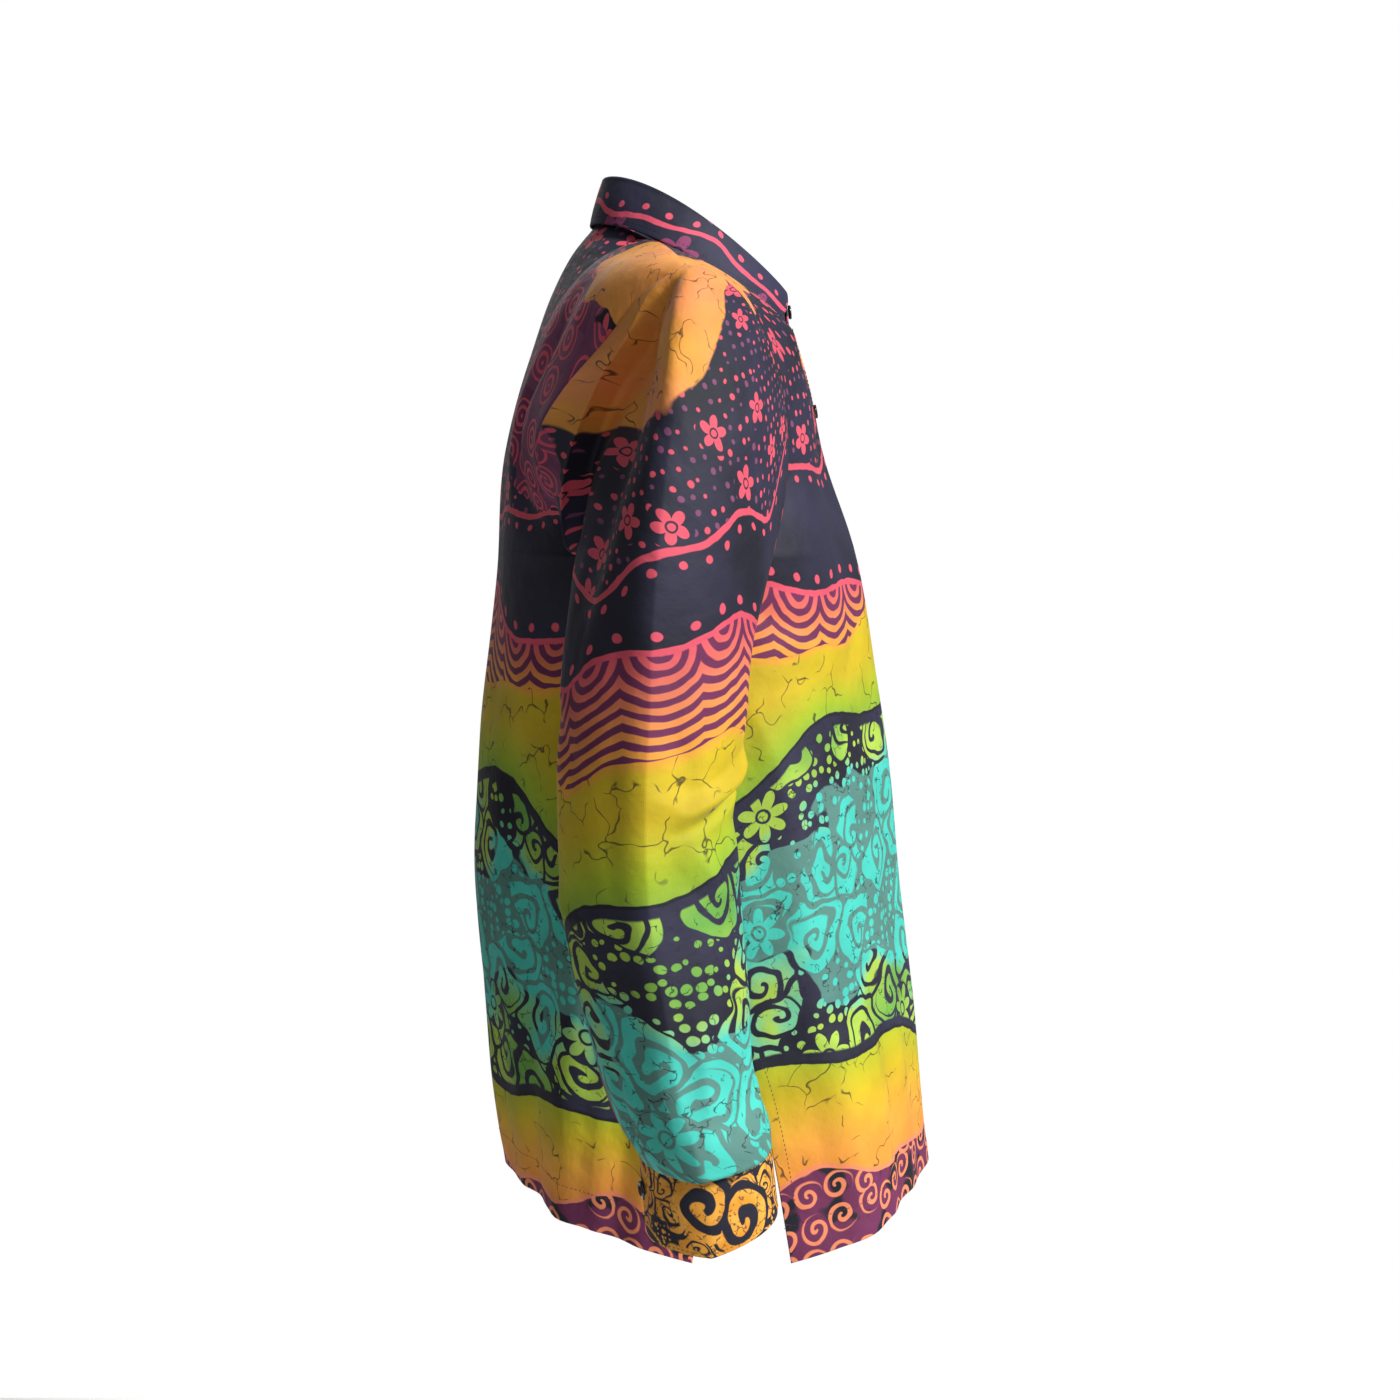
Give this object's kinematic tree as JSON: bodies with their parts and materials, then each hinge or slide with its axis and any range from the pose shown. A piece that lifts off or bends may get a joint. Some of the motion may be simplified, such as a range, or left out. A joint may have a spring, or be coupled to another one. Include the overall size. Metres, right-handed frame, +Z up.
{
  "type": "batik shirt",
  "caption": "Long-sleeved cotton shirt with a turn-down collar, front band, buttoned cuffs, side vents and rounded hem, hollow as when worn, in a multicoloured wax-resist print.",
  "frame": {"origin": "middle of the neck base, level with the side neck points, where the wearer's neck and shoulders carry the shirt", "axes": "+Z up the wearer's body, the front faces -Y, the wearer's left sleeve is at +X"},
  "size_m": [0.6746, 0.3565, 0.795],
  "materials": {
    "batik_cotton": "thin crisp cotton, matte with a slight sheen, navy wax-resist print",
    "contrast_cotton": "thin crisp cotton, matte, mustard and navy",
    "button_resin": "polished"
  },
  "bodies": {
    "root": {"back": "batik_cotton", "front_left": "batik_cotton", "front_right": "batik_cotton", "sleeve_left": "batik_cotton", "sleeve_right": "batik_cotton", "collar_stand": "batik_cotton", "collar_leaf": "batik_cotton", "cuff_left": "contrast_cotton", "cuff_right": "contrast_cotton", "front_band": "contrast_cotton", "button_neck": "button_resin", "button_front_1": "button_resin", "button_front_2": "button_resin", "button_front_3": "button_resin", "button_front_4": "button_resin", "button_front_5": "button_resin", "button_front_6": "button_resin", "button_cuff_left": "button_resin", "button_cuff_right": "button_resin"}
  },
  "joints": []
}
